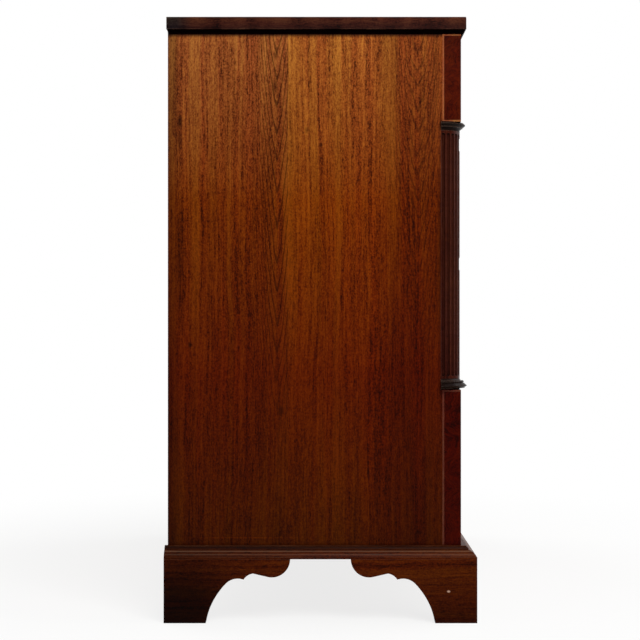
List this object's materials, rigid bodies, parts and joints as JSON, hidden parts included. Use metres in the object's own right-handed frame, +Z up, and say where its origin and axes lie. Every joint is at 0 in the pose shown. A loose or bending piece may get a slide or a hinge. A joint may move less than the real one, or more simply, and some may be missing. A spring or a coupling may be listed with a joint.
{
  "type": "chest of drawers",
  "caption": "Chest of drawers, short drawers over long ones, with hanging bail handles, fluted quarter columns at the corners, a base moulding and shaped bracket feet.",
  "frame": {"origin": "floor level, in the middle of the base moulding's width and depth", "axes": "+X to the right seen from the front, +Y from the front to the back, +Z up"},
  "size_m": [1.114, 0.569, 1.104],
  "materials": {
    "side_wood": "old polish",
    "top_wood": "old dark polish",
    "post_wood": "old polish",
    "column_wood": "old dark polish",
    "rail_wood": "old polish",
    "base_wood": "old polish",
    "front_wood": "old polish",
    "inlay_wood": "old polish",
    "inside_wood": "bare, aged",
    "brass": "dulled"
  },
  "bodies": {
    "carcass": {"back_boards": "inside_wood", "back_foot_left": "base_wood", "back_foot_right": "base_wood", "base_moulding": "base_wood", "bottom_board": "inside_wood", "bottom_rail": "rail_wood", "column_bases": "column_wood", "column_capitals": "column_wood", "corner_post_left": "post_wood", "corner_post_right": "post_wood", "drawer_divider": "rail_wood", "drawer_guides": "inside_wood", "drawer_rails": "rail_wood", "drawer_runners": "inside_wood", "drawer_stops": "inside_wood", "front_foot_left": "base_wood", "front_foot_right": "base_wood", "glue_blocks": "inside_wood", "line_inlay": "inlay_wood", "quarter_column_left": "column_wood", "quarter_column_right": "column_wood", "side_left": "side_wood", "side_right": "side_wood", "top_board": "top_wood", "top_moulding": "top_wood", "top_rail": "rail_wood"},
    "top_left_drawer": {"top_left_drawer_back": "inside_wood", "top_left_drawer_bottom": "inside_wood", "top_left_drawer_front": "front_wood", "top_left_drawer_handle_posts": "brass", "top_left_drawer_sides": "inside_wood"},
    "top_left_bail": {"top_left_bail": "brass"},
    "top_right_drawer": {"top_right_drawer_back": "inside_wood", "top_right_drawer_bottom": "inside_wood", "top_right_drawer_front": "front_wood", "top_right_drawer_handle_posts": "brass", "top_right_drawer_sides": "inside_wood"},
    "top_right_bail": {"top_right_bail": "brass"},
    "second_drawer": {"second_drawer_back": "inside_wood", "second_drawer_bottom": "inside_wood", "second_drawer_front": "front_wood", "second_drawer_handle_posts": "brass", "second_drawer_sides": "inside_wood"},
    "second_left_bail": {"second_left_bail": "brass"},
    "second_right_bail": {"second_right_bail": "brass"},
    "third_drawer": {"third_drawer_back": "inside_wood", "third_drawer_bottom": "inside_wood", "third_drawer_front": "front_wood", "third_drawer_handle_posts": "brass", "third_drawer_sides": "inside_wood"},
    "third_left_bail": {"third_left_bail": "brass"},
    "third_right_bail": {"third_right_bail": "brass"},
    "bottom_drawer": {"bottom_drawer_back": "inside_wood", "bottom_drawer_bottom": "inside_wood", "bottom_drawer_front": "front_wood", "bottom_drawer_handle_posts": "brass", "bottom_drawer_sides": "inside_wood"},
    "bottom_left_bail": {"bottom_left_bail": "brass"},
    "bottom_right_bail": {"bottom_right_bail": "brass"}
  },
  "joints": [
    {"name": "top_left_slide", "type": "slide", "parent": "carcass", "child": "top_left_drawer", "axis": [0, -1, 0], "range_m": [0, 0.38]},
    {"name": "top_left_bail_swing", "type": "hinge", "parent": "top_left_drawer", "child": "top_left_bail", "pos_m": [-0.246, -0.2725, 0.9799], "axis": [-1, 0, 0], "range_deg": [-15, 150]},
    {"name": "top_right_slide", "type": "slide", "parent": "carcass", "child": "top_right_drawer", "axis": [0, -1, 0], "range_m": [0, 0.38]},
    {"name": "top_right_bail_swing", "type": "hinge", "parent": "top_right_drawer", "child": "top_right_bail", "pos_m": [0.246, -0.2725, 0.9799], "axis": [-1, 0, 0], "range_deg": [-15, 150]},
    {"name": "second_slide", "type": "slide", "parent": "carcass", "child": "second_drawer", "axis": [0, -1, 0], "range_m": [0, 0.38]},
    {"name": "second_left_bail_swing", "type": "hinge", "parent": "second_drawer", "child": "second_left_bail", "pos_m": [-0.246, -0.2725, 0.7754], "axis": [-1, 0, 0], "range_deg": [-15, 150]},
    {"name": "second_right_bail_swing", "type": "hinge", "parent": "second_drawer", "child": "second_right_bail", "pos_m": [0.246, -0.2725, 0.7754], "axis": [-1, 0, 0], "range_deg": [-15, 150]},
    {"name": "third_slide", "type": "slide", "parent": "carcass", "child": "third_drawer", "axis": [0, -1, 0], "range_m": [0, 0.38]},
    {"name": "third_left_bail_swing", "type": "hinge", "parent": "third_drawer", "child": "third_left_bail", "pos_m": [-0.246, -0.2725, 0.5429], "axis": [-1, 0, 0], "range_deg": [-15, 150]},
    {"name": "third_right_bail_swing", "type": "hinge", "parent": "third_drawer", "child": "third_right_bail", "pos_m": [0.246, -0.2725, 0.5429], "axis": [-1, 0, 0], "range_deg": [-15, 150]},
    {"name": "bottom_slide", "type": "slide", "parent": "carcass", "child": "bottom_drawer", "axis": [0, -1, 0], "range_m": [0, 0.38]},
    {"name": "bottom_left_bail_swing", "type": "hinge", "parent": "bottom_drawer", "child": "bottom_left_bail", "pos_m": [-0.246, -0.2725, 0.2804], "axis": [-1, 0, 0], "range_deg": [-15, 150]},
    {"name": "bottom_right_bail_swing", "type": "hinge", "parent": "bottom_drawer", "child": "bottom_right_bail", "pos_m": [0.246, -0.2725, 0.2804], "axis": [-1, 0, 0], "range_deg": [-15, 150]}
  ]
}
